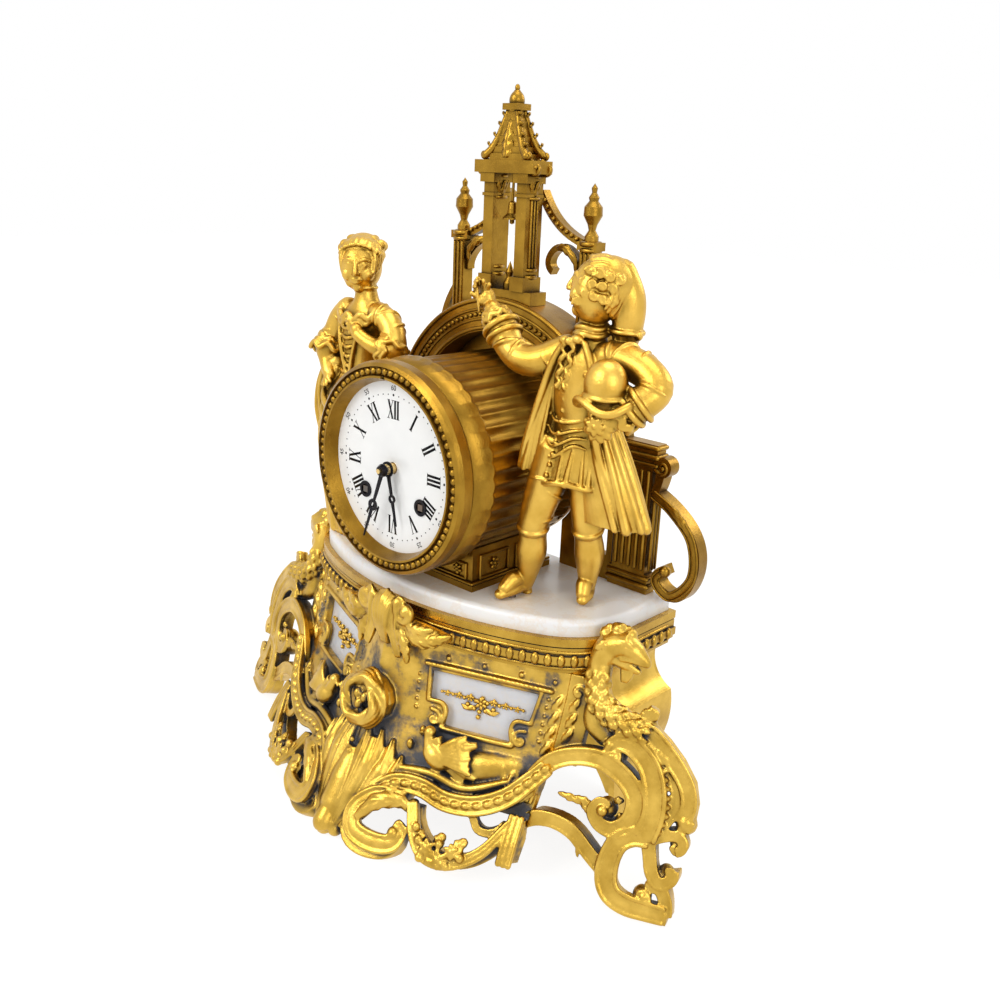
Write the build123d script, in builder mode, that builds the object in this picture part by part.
"""Figural mantel clock: gilt castings and alabaster, a drum with a round movement, two figures."""
import os
from math import acos, atan2, cos, degrees, pi, radians, sin, sqrt, tan

from build123d import *

os.makedirs("parts", exist_ok=True)

# Clearances, in millimetres
running_fit = 0.05
seat_gap = 0.15
free_gap = 0.4

# Alabaster slab: a bow front, rounded shoulders and a straight back
slab_top = 124.0
slab_thickness = 12.0
slab_half_width = 102.0
slab_front = 18.0
slab_back = 70.0
slab_bow = 19.0
slab_shoulder = 22.0
slab_edge_round = 3.0

# Rim of the base that carries the slab
rim_height = 18.0
rim_rebate = 4.0
rim_ledge = 8.0
rim_roll = 4.0
rim_back_lip = 2.0

# Front of the base: two canted faces that meet on the centre line
cant = 20.5
wall = 3.4
frieze_reach = 25.0
panel_top_reach = 27.2
panel_foot_reach = 34.8
ground_reach = 62.0
panel_top = 86.5
panel_foot = 60.0
seam_inset = 10.0
apron_edge = 30.0
foot_reach = 10.0
foot_height = 28.0
foot_depth = 9.0
scroll_thickness = 7.0
scroll_width = 7.0

# Windows for the stone panels, as distances from the centre line
window_inner = 26.7
window_outer = 80.0
window_foot_inner = 38.7
window_foot_outer = 72.6
window_notch = 11.0
window_lean = 2.0
panel_lap = 2.5
panel_thickness = 4.0
notch_round = 5.0
sprig_thickness = 1.2
sprig_margin = 5.6
sprig_clearance = 4.5

# Sides and back of the base
side_inset = 4.0
side_swell = 6.0
side_bulge_z = 74.5
side_front_y = 30.0
back_wall = 4.0
back_arch_half = 76.0
back_arch_height = 34.0

# Ends of the base, set out from the ends of the slab
end_ground_reach = 52.0
end_panel_reach = 36.0
end_wall_width = 12.0
end_wall_foot = 57.0
arch_width = 7.5
end_thickness = 8.0

# Clock drum on its plinth
axis_z = 183.0
dial_y = -23.0
drum_radius = 50.5
drum_wall = 3.0
drum_front = -20.0
drum_back = 60.0
flute_count = 48
flute_depth = 0.9
flute_start = -8.0
border_rise = 0.9
scallop_count = 40
scallop_depth = 2.0
plinth_half_width = 34.0
plinth_front = -1.0
plinth_back = 54.0
plinth_foot = 3.0

# Bezel, dial and hands
bezel_radius = 52.0
bezel_depth = 10.0
sight_radius = 41.9
dial_radius = 44.0
dial_thickness = 1.2
winding_x = 20.0
winding_z = -15.0
winding_hole = 3.4
collet_wall = 0.7
regulator_z = 43.8
hand_minutes = 33.5
hand_hour = 5
minute_length = 39.0
hour_length = 28.0
hand_thickness = 0.8

# Movement
plate_radius = 45.5
plate_thickness = 2.0
front_plate_y = -14.0
plate_space = 30.0
arbor_radius = 1.2
motion_module = 0.5
cannon_teeth = 12
minute_wheel_teeth = 36
hour_pinion_teeth = 10
hour_wheel_teeth = 40
barrel_teeth = 72
centre_pinion_teeth = 12
centre_wheel_teeth = 72
train_module = 0.4
third_pinion_teeth = 10
third_wheel_teeth = 60
escape_pinion_teeth = 8
escape_teeth = 30
escape_radius = 8.0
pallet_height = 11.0
anchor_clearance = 0.9
pendulum_length = 62.0
bob_radius = 12.0
bob_thickness = 6.0
pendulum_y = 27.0
bell_radius = 24.0
bell_wall = 1.5
bell_front = 36.0
bell_depth = 15.0

# Rear bezel and door
rear_bezel_inner = 40.0
rear_bezel_depth = 3.0
door_radius = 45.0
door_thickness = 2.0
hinge_x = -47.6
hinge_radius = 2.0
hinge_pin_radius = 0.8
hinge_half = 9.5
door_knuckle_half = 5.0

# Arched screen behind the drum
screen_front = 60.0
screen_back = 67.0
hood_front = 46.5
screen_wall = 5.0
hood_radius = 77.0
hood_inner = 60.0
hood_foot = 34.0
pilaster_inner = 70.5
pilaster_outer = 94.3
pilaster_height = 76.0
pilaster_step = 2.0
urn_x = 43.5
urn_column = 8.0
urn_cap_rise = 30.0
urn_height = 27.0
rail_width = 4.0

# Bell tower on the crown of the arch
tower_plinth_half = 19.7
tower_rise = 4.0
tower_pier_x = 11.0
tower_pier = 6.5
tower_pier_height = 56.0
eaves_half = 19.5
eaves_height = 6.0
roof_half = 11.0
roof_half_depth = 6.5
roof_height = 23.0
roof_neck = 3.6
knop_height = 12.0
tower_bell_radius = 4.8
tower_bell_height = 9.0
tower_bell_drop = 22.0


def face_plane(low_reach, low_z, high_reach, high_z):
    """Plane of a canted face on the right side, with its origin on the centre line."""
    lean = atan2(low_reach - high_reach, high_z - low_z)
    along = Vector(cos(radians(cant)), sin(radians(cant)), 0)
    out = Vector(sin(radians(cant)) * cos(lean), -cos(radians(cant)) * cos(lean), sin(lean))
    return Plane(origin=(0, -low_reach / cos(radians(cant)), low_z), x_dir=along, z_dir=out)


def face_point(plane, x, z):
    """Point in a face plane that lies x from the centre line, at height z."""
    normal, start = plane.z_dir, plane.origin
    y = start.Y - (normal.X * (x - start.X) + normal.Z * (z - start.Z)) / normal.Y
    local = plane.to_local_coords(Vector(x, y, z))
    return (local.X, local.Y)


def tube(points, radii):
    """Round limb through points, one radius at each."""
    ends = [points[0]] + points + [points[-1]]
    across = Vector(0.1, 1, 0.2)
    rings = []
    for i, (point, radius) in enumerate(zip(points, radii)):
        heading = (Vector(*ends[i + 2]) - Vector(*ends[i])).normalized()
        across = (across - heading * across.dot(heading)).normalized()
        with BuildSketch(Plane(origin=point, x_dir=across, z_dir=heading)) as ring:
            Circle(radius)
        rings.append(ring.sketch)
    with BuildPart() as limb:
        loft(sections=rings, ruled=True)
    return limb.part


def limb(*stations):
    """Round limb through stations of x, y, z and radius."""
    return tube([station[:3] for station in stations], [station[3] for station in stations])


def stack(sections):
    """Upright form through ellipses, each given as x, y, z and its two half axes."""
    turns = [2 * pi * step / 12 for step in range(12)]
    rings = []
    for x, y, z, half_x, half_y in sections:
        with BuildSketch(Plane(origin=(x, y, z))) as ring:
            with BuildLine():
                Spline(*[(half_x * cos(turn), half_y * sin(turn)) for turn in turns], periodic=True)
            make_face()
        rings.append(ring.sketch)
    with BuildPart() as form:
        loft(sections=rings, ruled=True)
    return form.part


def lump(x, y, z, half_x, half_y, half_z):
    """Rounded lump with three half axes."""
    levels = (-0.97, -0.8, -0.45, 0, 0.45, 0.8, 0.97)
    sizes = [sqrt(1 - level * level) for level in levels]
    return stack([(x, y, z + level * half_z, half_x * size, half_y * size)
                  for level, size in zip(levels, sizes)])


def ribbon(points, width):
    """Flat scroll of one width along a curve."""
    with BuildSketch() as strip:
        with BuildLine():
            Spline(*points)
        trace(line_width=width)
    return strip.sketch


def on_face(plane, points):
    """Points given as x and z, moved into a face plane's own coordinates."""
    return [face_point(plane, x, z) for x, z in points]


def slab_outline(margin):
    """Face of the slab's plan, grown by a margin."""
    half = slab_half_width - slab_shoulder
    front_y = -slab_front + slab_bow
    turn = 2 * atan2(slab_bow, half)
    side_y = front_y + slab_shoulder * tan((turn + pi / 2) / 2)
    with BuildSketch() as plan:
        with BuildLine():
            bow = ThreePointArc((-half, front_y), (0, -slab_front), (half, front_y))
            right = TangentArc((half, front_y), (slab_half_width, side_y), tangent=bow % 1)
            mirror(right, about=Plane.YZ)
            Polyline(
                (slab_half_width, side_y),
                (slab_half_width, slab_back),
                (-slab_half_width, slab_back),
                (-slab_half_width, side_y),
            )
        make_face()
        if margin:
            offset(amount=margin, kind=Kind.INTERSECTION, mode=Mode.REPLACE)
    return plan.sketch


def both_sides(points):
    """Points, then the same points on the other side of the centre line."""
    return points + [(-x, y) for x, y in points]


def finish(piece, name):
    """Label a piece and write it."""
    piece.label = name
    export_step(piece, "parts/" + name + ".step")


def finish_pair(piece, name):
    """Write a right hand piece and its mirror image on the left."""
    finish(piece, name + "_right")
    finish(mirror(piece, about=Plane.YZ), name + "_left")


# Levels that follow from the sizes above
slab_under = slab_top - slab_thickness
rim_top = slab_under + rim_rebate
rim_foot = rim_top - rim_height
panel_plane = face_plane(panel_foot_reach, panel_foot, panel_top_reach, panel_top)
apron_plane = face_plane(ground_reach, 0, panel_foot_reach, panel_foot)
crown_z = axis_z + hood_radius
urn_cap_z = crown_z + urn_cap_rise
tower_foot = crown_z + tower_rise
tower_eaves = tower_foot + tower_pier_height
pilaster_top = slab_top + pilaster_height
overall = 4 * slab_half_width
seam_x = slab_half_width - seam_inset
side_top_x = slab_half_width - side_inset
side_bulge_x = slab_half_width + side_swell
end_plane = face_plane(end_ground_reach, 0, end_panel_reach, panel_foot)

# Screws and bolts that hold the upper pieces to the slab
bolt_radius = 2.5
bolt_head = 5.0
bar_thickness = 3.0
bar_width = 12.0
bolt_x = 20.0
bolt_rows = (24.0, 46.0)
plinth_bolt_depth = 6.0
screw_radius = 2.0
screw_head = 4.0
screw_head_height = 2.5
figure_screw_depth = 5.0
man_screws = [(51.5, 9.0), (78.0, 31.5)]
lady_screws = [(-70.0, 14.0), (-74.0, 32.0)]
screen_screws = both_sides([(82.0, (screen_front + screen_back) / 2)])
screw_places = man_screws + lady_screws + screen_screws
bolt_places = [(x, y) for y in bolt_rows for x in (-bolt_x, bolt_x)]

# Alabaster slab
with BuildPart() as slab:
    with BuildSketch(Plane.XY.offset(slab_under)):
        add(slab_outline(0))
    extrude(amount=slab_thickness)
    fillet(slab.faces().sort_by(Axis.Z)[-1].edges(), radius=slab_edge_round)
    with Locations(*[(x, y, slab_top) for x, y in bolt_places]):
        Hole(radius=bolt_radius + running_fit)
    with Locations(*[(x, y, slab_top) for x, y in screw_places]):
        Hole(radius=screw_radius + running_fit)
finish(slab.part, "alabaster_slab")

# Moulded rim: fillet, roll, neck and lip, with the rebate for the slab
rim_steps = [(0, 0.25), (0.18, 0.7), (0.3, 1), (0.52, 0.7), (0.64, 0.3), (0.78, 0.8)]
with BuildPart() as rim:
    for share, swell in rim_steps:
        with BuildSketch(Plane.XY.offset(rim_foot + share * rim_height)):
            add(slab_outline(swell * rim_roll))
        extrude(amount=rim_height * 0.22)
    with BuildSketch(Plane.XY.offset(slab_under)):
        add(slab_outline(seat_gap))
    extrude(amount=rim_height, mode=Mode.SUBTRACT)
    with BuildSketch(Plane.XY.offset(rim_foot)):
        add(slab_outline(-rim_ledge))
    extrude(amount=rim_height, mode=Mode.SUBTRACT)
    with Locations(*[(x, y, slab_under) for x, y in screen_screws]):
        Hole(radius=screw_head + free_gap)
    with BuildSketch(Plane.XZ.offset(-slab_back - rim_back_lip)):
        Rectangle(overall, overall)
    extrude(amount=-overall, mode=Mode.SUBTRACT)
finish(rim.part, "base_rim")


def wall_section(z, reach, start_x, end_x):
    """Plan of the canted front wall at one height, between two distances from the centre line."""
    slope, run = sin(radians(cant)), cos(radians(cant))
    corners = [(x, (slope * x - depth) / run)
               for x, depth in ((start_x, reach), (end_x, reach), (end_x, reach - wall),
                                (start_x, reach - wall))]
    with BuildSketch(Plane.XY.offset(z)) as plan:
        Polygon(*corners, align=None)
    return plan.sketch


def apron_reach(z):
    """How far the apron stands out at a height below the panels."""
    return ground_reach + (panel_foot_reach - ground_reach) * z / panel_foot


def front_wall(start_x, end_x, foot_z):
    """Frieze, panel field and upper apron of the canted wall, between two distances."""
    levels = [(rim_foot, frieze_reach), (panel_top, panel_top_reach), (panel_foot, panel_foot_reach),
              (foot_z, apron_reach(foot_z))]
    with BuildPart() as field:
        loft(sections=[wall_section(z, reach, start_x, end_x) for z, reach in levels], ruled=True)
    return field.part


def scroll(plane, points, width, thickness):
    """Scroll on a face plane, standing out of it by its thickness."""
    with BuildPart() as strip:
        with BuildSketch(plane.offset(-wall)):
            add(ribbon(on_face(plane, points), width))
        extrude(amount=thickness)
    return strip.part


def window_face():
    """Outline of a panel window in its plane, with a scroll notch at each lower corner."""
    top = panel_top - wall / 2
    shoulder = panel_foot + window_notch
    corners = [(window_inner, top), (window_outer, top), (window_outer - window_lean, shoulder),
               (window_foot_outer, shoulder), (window_foot_outer, panel_foot),
               (window_foot_inner, panel_foot),
               (window_foot_inner, shoulder), (window_inner + window_lean, shoulder)]
    with BuildSketch() as window:
        with BuildLine():
            Polyline(*on_face(panel_plane, corners), close=True)
        make_face()
        notches = [Vector(*on_face(panel_plane, [(x, shoulder)])[0])
                   for x in (window_foot_outer, window_foot_inner)]
        fillet([min(window.vertices(), key=lambda v: (Vector(v) - notch).length) for notch in notches],
               notch_round)
    return window.sketch


# Front casting: both canted walls, the roped band, the garland and the centre leaf
band_points = [(27, 32), (48, 30), (68, 31), (seam_x - 6, 41), (seam_x + 2, 53)]
garland_points = [(40, 24), (50, 9), (60, 5), (72, 7), (82, 16), (88, 30)]
sprout_points = [(66, 27), (73, 21), (81, 24)]
leaf_drop_points = [(88, 30), (90, 20), (92, 11)]
foot_plane = face_plane(ground_reach + foot_reach, 0, apron_reach(foot_height), foot_height)
foot_points = [(34, 26), (20, 25), (12, 16), (16, 7), (28, 3.4), (38, 6), (38, 13)]
front_scrolls = [
    scroll(apron_plane, band_points, scroll_width, scroll_thickness),
    scroll(apron_plane, garland_points, scroll_width, scroll_thickness),
    scroll(apron_plane, sprout_points, scroll_width * 0.5, scroll_thickness * 0.7),
    scroll(apron_plane, leaf_drop_points, scroll_width, scroll_thickness * 0.8),
]
nest_lump = lump(0, -34, 66, 14, 8, 13)
with BuildPart() as front_foot:
    with BuildSketch(foot_plane):
        add(ribbon(on_face(foot_plane, foot_points), scroll_width))
    extrude(amount=-foot_depth)
leaf_fan = limb((0, -44, 40, 6), (0, -52, 26, 8), (0, -58, 14, 9), (0, -62, 4, 7))


def apron_place(x, z, out):
    """Place on the apron's face, or as far out of it as asked."""
    local_x, local_y = face_point(apron_plane, x, z)
    return tuple(apron_plane.from_local_coords(Vector(local_x, local_y, out)))


fan_leaves = [
    limb(apron_place(9, 48, 1) + (3,), apron_place(10, 36, 2) + (5,), apron_place(8, 22, 2) + (5.5,),
         apron_place(5, 8, 1) + (5,)),
    limb(apron_place(19, 44, 0) + (3,), apron_place(18, 34, 2) + (5,), apron_place(14, 22, 2) + (5.5,),
         apron_place(9, 10, 1) + (4,)),
]
bird = [
    lump(*apron_place(46, 46.5, 3), 6.5, 5, 5),
    limb(apron_place(43, 49, 4) + (3.2,), apron_place(41, 53, 5) + (2.6,), apron_place(39.5, 55, 5) + (3,)),
    limb(apron_place(47, 48, 5) + (2.5,), apron_place(54, 54, 5) + (3.2,), apron_place(59, 56, 4) + (1.4,)),
    limb(apron_place(50, 45, 3) + (3,), apron_place(58, 42.5, 3) + (2.4,), apron_place(63, 41, 2) + (1.2,)),
]
with BuildPart() as front:
    add(front_wall(0, seam_x, apron_edge))
    with BuildSketch(panel_plane.offset(-3 * wall)):
        add(window_face())
    extrude(amount=6 * wall, mode=Mode.SUBTRACT)
    add(front_scrolls)
    add(fan_leaves + bird)
    add(front_foot.part)
    with BuildSketch(Plane.YZ.offset(seam_x)):
        Rectangle(overall, overall)
    extrude(amount=100, mode=Mode.SUBTRACT)
    with BuildSketch(Plane.YZ):
        Rectangle(overall, overall)
    extrude(amount=-100, mode=Mode.SUBTRACT)
    mirror(about=Plane.YZ)
    add([nest_lump, leaf_fan])
    with BuildSketch(Plane.XY):
        Rectangle(overall, overall)
    extrude(amount=-100, mode=Mode.SUBTRACT)
finish(front.part, "base_front")

# Stone panels behind the windows and their gilt sprigs
inner_face = panel_plane.offset(-wall * cos(atan2(panel_foot_reach - panel_top_reach,
                                                  panel_top - panel_foot)))
panel_corners = [
    (window_inner - panel_lap, panel_top + panel_lap),
    (window_outer + panel_lap, panel_top + panel_lap),
    (window_outer + panel_lap, panel_foot - panel_lap),
    (window_inner - panel_lap, panel_foot - panel_lap),
]
with BuildPart() as panel:
    with BuildSketch(inner_face):
        Polygon(*on_face(inner_face, panel_corners), align=None)
    extrude(amount=-panel_thickness)
finish_pair(panel.part, "stone_panel")

sprig_x = (window_inner + window_outer) / 2
sprig_z = panel_foot + window_notch + sprig_clearance
sprig_half_length = (window_outer - window_inner) / 2 - sprig_margin
with BuildPart() as sprig:
    with BuildSketch(inner_face):
        with Locations(face_point(inner_face, sprig_x, sprig_z)):
            Ellipse(sprig_half_length * 0.3, 4)
            Rectangle(2 * sprig_half_length, 1.2)
            with Locations((0, -6)):
                Ellipse(2.2, 5)
            with GridLocations(sprig_half_length * 1.1, 0, 2, 1):
                Ellipse(sprig_half_length * 0.22, 3)
    extrude(amount=sprig_thickness)
finish(Compound(children=[sprig.part, mirror(sprig.part, about=Plane.YZ)]), "panel_sprigs")

# Side walls: a hollow neck over a swelling, down to the ground
side_profile_top = (side_top_x, rim_foot)
side_bulge = (side_bulge_x, side_bulge_z)
side_waist = (side_top_x, 84.0)
side_belly = (side_bulge_x + 1, 62.0)
side_ankle = (side_bulge_x - 4, 44.0)
side_foot = (side_bulge_x - 2, 0.0)
with BuildPart() as side:
    with BuildSketch(Plane.XZ.offset(-side_front_y)):
        with BuildLine():
            neck = ThreePointArc(side_profile_top, side_waist, side_bulge)
            belly = ThreePointArc(side_bulge, side_belly, side_ankle)
            Line(side_ankle, side_foot)
        trace(line_width=wall)
    extrude(amount=-(slab_back - back_wall - side_front_y))
    with BuildSketch(Plane.XY):
        Rectangle(overall, overall)
    extrude(amount=-100, mode=Mode.SUBTRACT)
    with BuildSketch(Plane.XY.offset(rim_foot)):
        Rectangle(overall, overall)
    extrude(amount=100, mode=Mode.SUBTRACT)
finish_pair(side.part, "base_side")

# Back wall with a low arch, standing on two plain feet
with BuildPart() as back:
    with BuildSketch(Plane.XZ.offset(-slab_back)):
        with BuildLine():
            ThreePointArc(side_profile_top, side_waist, side_bulge)
            ThreePointArc(side_bulge, side_belly, side_ankle)
            Polyline(side_ankle, side_foot, (0, 0), (0, rim_foot), side_profile_top)
        make_face()
        with BuildLine():
            ThreePointArc((0, back_arch_height), (back_arch_half * 0.7, back_arch_height * 0.72),
                          (back_arch_half, 0))
            Polyline((back_arch_half, 0), (0, 0), (0, back_arch_height))
        make_face(mode=Mode.SUBTRACT)
    extrude(amount=back_wall)
    mirror(about=Plane.YZ)
finish(back.part, "base_back")

# End castings: canted wall strip, arched scroll, leg, foot, dragon neck and head, outer scroll.
# Their curves are given as distances beyond the end of the slab and heights.
def end_place(beyond, z):
    """Place on the end's face, given as a distance beyond the end of the slab and a height."""
    x, y = face_point(end_plane, slab_half_width + beyond, z)
    return tuple(end_plane.from_local_coords(Vector(x, y, 0)))


def end_scroll(points, width):
    """Flat scroll of an end casting."""
    return scroll(end_plane, [(slab_half_width + beyond, z) for beyond, z in points], width, end_thickness)


def end_limb(points):
    """Round limb of an end casting, through points that carry a radius."""
    return limb(*[end_place(beyond, z) + (radius,) for beyond, z, radius in points])


def end_knob(beyond, z, radius):
    """Round scroll eye, bud or knop on an end casting."""
    return lump(*end_place(beyond, z), radius, radius, radius)


arch_points = [(-16, 38), (-14, 48), (-8, 58), (1.5, 63.5), (13.5, 65), (24.5, 60.5), (31.5, 53.5), (33, 46),
               (31, 39.5), (25.5, 35.7), (19, 37), (15.5, 42)]
apron_arc_points = [(-14, 28), (-8.5, 31.2), (0, 32), (9, 29.3), (16.5, 23.5), (24, 18)]
leg_points = [(15.5, 70), (19.5, 74), (26, 73.7), (33, 69), (37, 62), (40, 54), (41.5, 46), (41, 36.5)]
foot_points_end = [(41, 36.5), (34.5, 35), (29, 31), (27, 23.5), (27.5, 14.5), (31, 7.5), (38.5, 3.8),
                   (47, 3.4), (57, 3.6)]
strap_points = [(41, 36), (43.5, 28.5), (46, 21.5), (50.3, 17.6), (54.3, 20), (54.5, 24)]
toe_points = [(46.5, 15.5), (51.5, 15.5), (54.5, 10.5), (56, 4)]
branch_points = [(41.5, 35), (47.5, 38.5), (53, 40), (55.8, 36.5), (53.5, 33)]
outer_limb = [(22, 79, 4), (30, 82, 4.6), (37.5, 76.5, 4.5), (45, 70, 4.3), (51.5, 62.5, 4), (54.2, 55, 4),
              (54.5, 45, 4)]
inner_limb = [(33, 71, 3), (42, 67.5, 3), (47.3, 60, 3), (48.5, 52.5, 3), (46.5, 45, 3), (41.5, 37, 3)]
neck_limb = [(2.5, 106, 5.6), (3.5, 97, 5.6), (6.5, 89.5, 6), (13, 85, 6), (21, 82.5, 5.2), (29, 80.5, 4)]
head_limb = [(2, 107, 5.5), (5, 115, 7), (11.5, 117, 6.6), (17, 113.5, 4.6), (22.5, 110, 2)]
leaf_limb = [(28.5, 80, 4.6), (28.5, 87, 4), (30, 92, 2.4)]
end_scrolls = [
    end_scroll(arch_points, arch_width),
    end_scroll(apron_arc_points, arch_width),
    end_scroll(leg_points, arch_width),
    end_scroll(foot_points_end, arch_width),
    end_scroll(strap_points, arch_width * 0.75),
    end_scroll(toe_points, arch_width * 0.75),
    end_scroll(branch_points, arch_width * 0.6),
]
end_limbs = [end_limb(points) for points in (outer_limb, inner_limb, neck_limb, head_limb, leaf_limb)]
end_knobs = [
    end_knob(19.5, 68.5, 4.6),
    end_knob(20.5, 43.5, 5),
    end_knob(44, 9.5, 4.5),
    end_knob(51.5, 22.5, 3.6),
    end_knob(54.5, 45.5, 5),
    end_knob(53, 35.5, 3.4),
    end_knob(1.5, 120, 3.4),
    end_knob(6.5, 122.5, 3.6),
    end_knob(12, 121.5, 3.2),
]
end_wall = front_wall(seam_x, seam_x + end_wall_width, end_wall_foot)
end_pieces = [end_wall] + end_scrolls + end_limbs + end_knobs
with BuildPart() as end:
    add(end_pieces)
    with BuildSketch(Plane.YZ.offset(seam_x)):
        Rectangle(overall, overall)
    extrude(amount=-100, mode=Mode.SUBTRACT)
    with BuildSketch(Plane.XY):
        Rectangle(overall, overall)
    extrude(amount=-100, mode=Mode.SUBTRACT)
    with BuildSketch(Plane.XY.offset(rim_foot)):
        add(slab_outline(rim_roll + free_gap))
    extrude(amount=rim_height + slab_thickness, mode=Mode.SUBTRACT)
finish_pair(end.part, "end_casting")

# Centre cartouche: two volutes and a shell lobe in front of the rim
cartouche_y = -slab_front - rim_roll - seat_gap
cartouche_depth = 8.0
volute_x = 16.6
volute_z = 113.5
with BuildPart() as cartouche:
    with BuildSketch(Plane.XZ.offset(-cartouche_y)):
        with Locations((0, volute_z - 2)):
            Ellipse(9, 12)
        with Locations((-volute_x, volute_z), (volute_x, volute_z)):
            Circle(7)
        Polygon((-volute_x, volute_z), (volute_x, volute_z), (10, rim_foot + 1), (-10, rim_foot + 1),
                align=None)
        add(ribbon([(volute_x + 4, volute_z - 4), (30, 107), (40, 105)], 6))
        add(ribbon([(-volute_x - 4, volute_z - 4), (-30, 107), (-40, 105)], 6))
    extrude(amount=cartouche_depth)
finish(cartouche.part, "cartouche")

# Cross bars under the rim, with the bolts that draw the plinth down on the slab
with BuildPart() as bars:
    with BuildSketch(Plane.XY.offset(rim_foot - bar_thickness)):
        with Locations(*[(0, y) for y in bolt_rows]):
            Rectangle(2 * (slab_half_width - rim_ledge), bar_width)
        with Locations(*bolt_places):
            Circle(bolt_radius + running_fit, mode=Mode.SUBTRACT)
    extrude(amount=bar_thickness)
finish(bars.part, "cross_bars")

with BuildPart() as bolts:
    with BuildSketch(Plane.XY.offset(rim_foot - bar_thickness)):
        with Locations(*bolt_places):
            Circle(bolt_radius)
    extrude(amount=slab_top + plinth_bolt_depth - rim_foot + bar_thickness)
    with BuildSketch(Plane.XY.offset(rim_foot - bar_thickness)):
        with Locations(*bolt_places):
            RegularPolygon(bolt_head, 6)
    extrude(amount=-bolt_head * 0.8)
finish(bolts.part, "plinth_bolts")

with BuildPart() as screws:
    with BuildSketch(Plane.XY.offset(slab_under)):
        with Locations(*screw_places):
            Circle(screw_radius)
    extrude(amount=slab_thickness + figure_screw_depth)
    with BuildSketch(Plane.XY.offset(slab_under)):
        with Locations(*screw_places):
            Circle(screw_head)
    extrude(amount=-screw_head_height)
finish(screws.part, "slab_screws")

# Drum plinth with the cradle that the drum lies in
with BuildPart() as plinth:
    plinth_length = plinth_back - plinth_front
    plinth_middle = (plinth_back + plinth_front) / 2
    with BuildSketch(Plane.XY.offset(slab_top)):
        with Locations((0, plinth_middle)):
            Rectangle(2 * plinth_half_width, plinth_length)
    extrude(amount=axis_z - slab_top - drum_radius / 2)
    with BuildSketch(Plane.XY.offset(slab_top)):
        with Locations((0, plinth_middle)):
            Rectangle(2 * (plinth_half_width + plinth_foot / 2), plinth_length + plinth_foot)
    extrude(amount=plinth_foot)
    with BuildSketch(Plane.XZ.offset(-plinth_back - plinth_foot)):
        with Locations((0, axis_z)):
            Circle(drum_radius + seat_gap)
    extrude(amount=plinth_length + 4 * plinth_foot, mode=Mode.SUBTRACT)
    with BuildSketch(Plane.XY.offset(slab_top)):
        with Locations(*bolt_places):
            Circle(bolt_radius + running_fit)
    extrude(amount=plinth_bolt_depth, mode=Mode.SUBTRACT)
finish(plinth.part, "drum_plinth")

# Fluted drum with a raised front band that ends in a scalloped edge
flute_half = 0.8 * pi * drum_radius / flute_count
flute_radius = (flute_half ** 2 + flute_depth ** 2) / (2 * flute_depth)
border_back = flute_start + scallop_depth
scallop_radius = 0.4 * 2 * pi * drum_radius / scallop_count
scallop_turns = [2 * pi * step / scallop_count for step in range(scallop_count)]
scallop_ring = drum_radius + border_rise
scallop_places = [
    Location((scallop_ring * sin(turn), border_back, axis_z + scallop_ring * cos(turn)),
             (0, degrees(turn), 0))
    for turn in scallop_turns
]
with BuildPart() as drum:
    with BuildSketch(Plane.XZ.offset(-drum_back)):
        with Locations((0, axis_z)):
            Circle(drum_radius)
            Circle(drum_radius - drum_wall, mode=Mode.SUBTRACT)
    extrude(amount=drum_back - drum_front)
    with BuildSketch(Plane.XZ.offset(-drum_back)):
        with Locations((0, axis_z)):
            with PolarLocations(drum_radius - flute_depth + flute_radius, flute_count):
                Circle(flute_radius)
    extrude(amount=drum_back - flute_start, mode=Mode.SUBTRACT)
    with BuildSketch(Plane.XZ.offset(-border_back)):
        with Locations((0, axis_z)):
            Circle(drum_radius + border_rise)
            Circle(drum_radius - drum_wall / 2, mode=Mode.SUBTRACT)
    extrude(amount=border_back - drum_front)
    with Locations(*scallop_places):
        Cylinder(scallop_radius, 2 * border_rise, mode=Mode.SUBTRACT)
finish(drum.part, "drum_case")


def turned(profile):
    """Ring or disc turned about the drum's axis from a profile of radius and y."""
    with BuildPart() as lathe:
        with BuildSketch(Plane.XY.offset(axis_z)):
            with BuildLine():
                Polyline(*profile, close=True)
            make_face()
        revolve(axis=Axis((0, 0, axis_z), (0, 1, 0)))
    return lathe.part


# Front bezel: rounded outside, a hollow for the bead row, an inner slope down to the dial
bezel_front = drum_front - bezel_depth
bezel_profile = [
    (drum_radius - drum_wall, drum_front), (bezel_radius - 0.8, drum_front), (bezel_radius, drum_front - 1),
    (bezel_radius, bezel_front + 4), (bezel_radius - 0.9, bezel_front + 1.6),
                 (bezel_radius - 2.6, bezel_front + 0.4),
    (bezel_radius - 3.2, bezel_front + 1.8), (bezel_radius - 6.4, bezel_front + 1.8),
                 (bezel_radius - 7, bezel_front),
    (bezel_radius - 8, bezel_front), (sight_radius, dial_y - 0.6), (sight_radius, dial_y),
    (dial_radius + free_gap, dial_y), (dial_radius + free_gap, drum_front),
]
with BuildPart() as bezel:
    add(turned(bezel_profile))
    with BuildSketch(Plane.XZ.offset(-drum_front)):
        with Locations((0, axis_z + regulator_z)):
            Circle(arbor_radius + free_gap)
    extrude(amount=2 * bezel_depth, mode=Mode.SUBTRACT)
finish(bezel.part, "front_bezel")

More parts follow.
